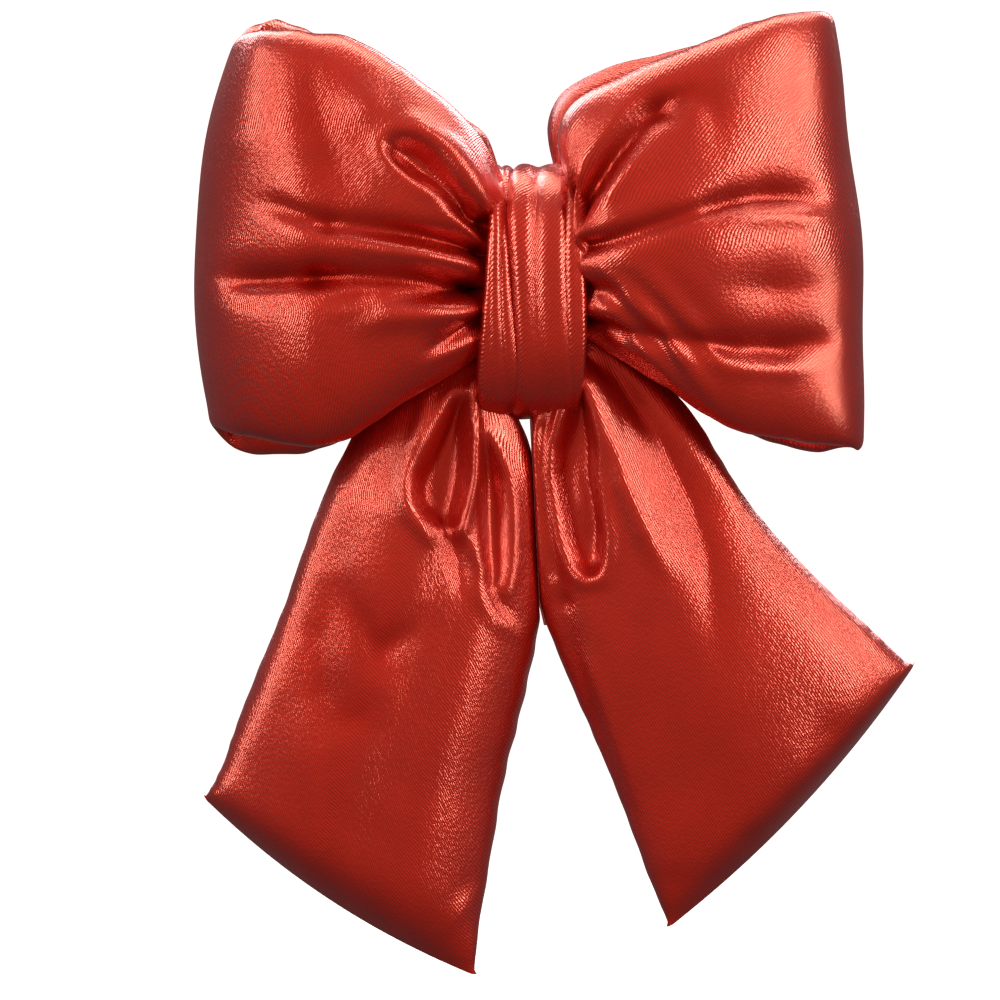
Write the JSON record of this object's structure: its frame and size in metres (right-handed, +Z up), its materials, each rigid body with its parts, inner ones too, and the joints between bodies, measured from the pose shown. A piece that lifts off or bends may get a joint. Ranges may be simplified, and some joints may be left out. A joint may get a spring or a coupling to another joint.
{
  "type": "gift bow with spring clip",
  "caption": "Padded ribbon bow with two puffy loops, two hanging tails and a pleated knot band, glued to a sprung alligator clip that grips ribbon, paper or hair.",
  "frame": {"origin": "on the flat inner face of the fixed clip jaw, in the middle of its throat", "axes": "+Z up along the clip and the bow's height, -Y out of the bow's front, +Y from the fixed jaw to the moving jaw, +X to the right seen from the front, along the hinge pin"},
  "size_m": [0.1443, 0.0585, 0.1932],
  "materials": {
    "foil_fabric": "red metallic foil-coated fabric with a fine rib",
    "wadding": "loose white polyester wadding",
    "thread": "red polyester thread",
    "glue": "cloudy hot-melt glue",
    "clip_plastic": "milky white moulded plastic",
    "steel": "bright spring steel"
  },
  "bodies": {
    "bow": {"left_loop_cover": "foil_fabric", "left_loop_wadding": "wadding", "right_loop_cover": "foil_fabric", "right_loop_wadding": "wadding", "left_tail_cover": "foil_fabric", "left_tail_wadding": "wadding", "right_tail_cover": "foil_fabric", "right_tail_wadding": "wadding", "knot_band": "foil_fabric", "gather_thread": "thread", "band_stitches": "thread", "clip_glue": "glue", "clip_fixed_arm": "clip_plastic", "clip_pin": "steel", "clip_spring": "steel"},
    "clip_jaw": {"clip_moving_arm": "clip_plastic"}
  },
  "joints": [
    {"name": "jaw_hinge", "type": "hinge", "parent": "bow", "child": "clip_jaw", "pos_m": [0, 0.005, 0.02], "axis": [1, 0, 0], "range_deg": [0, 22], "stiffness_Nm_per_rad": 0.12, "springref_deg": -20.05, "deforming": ["clip_spring"]}
  ]
}
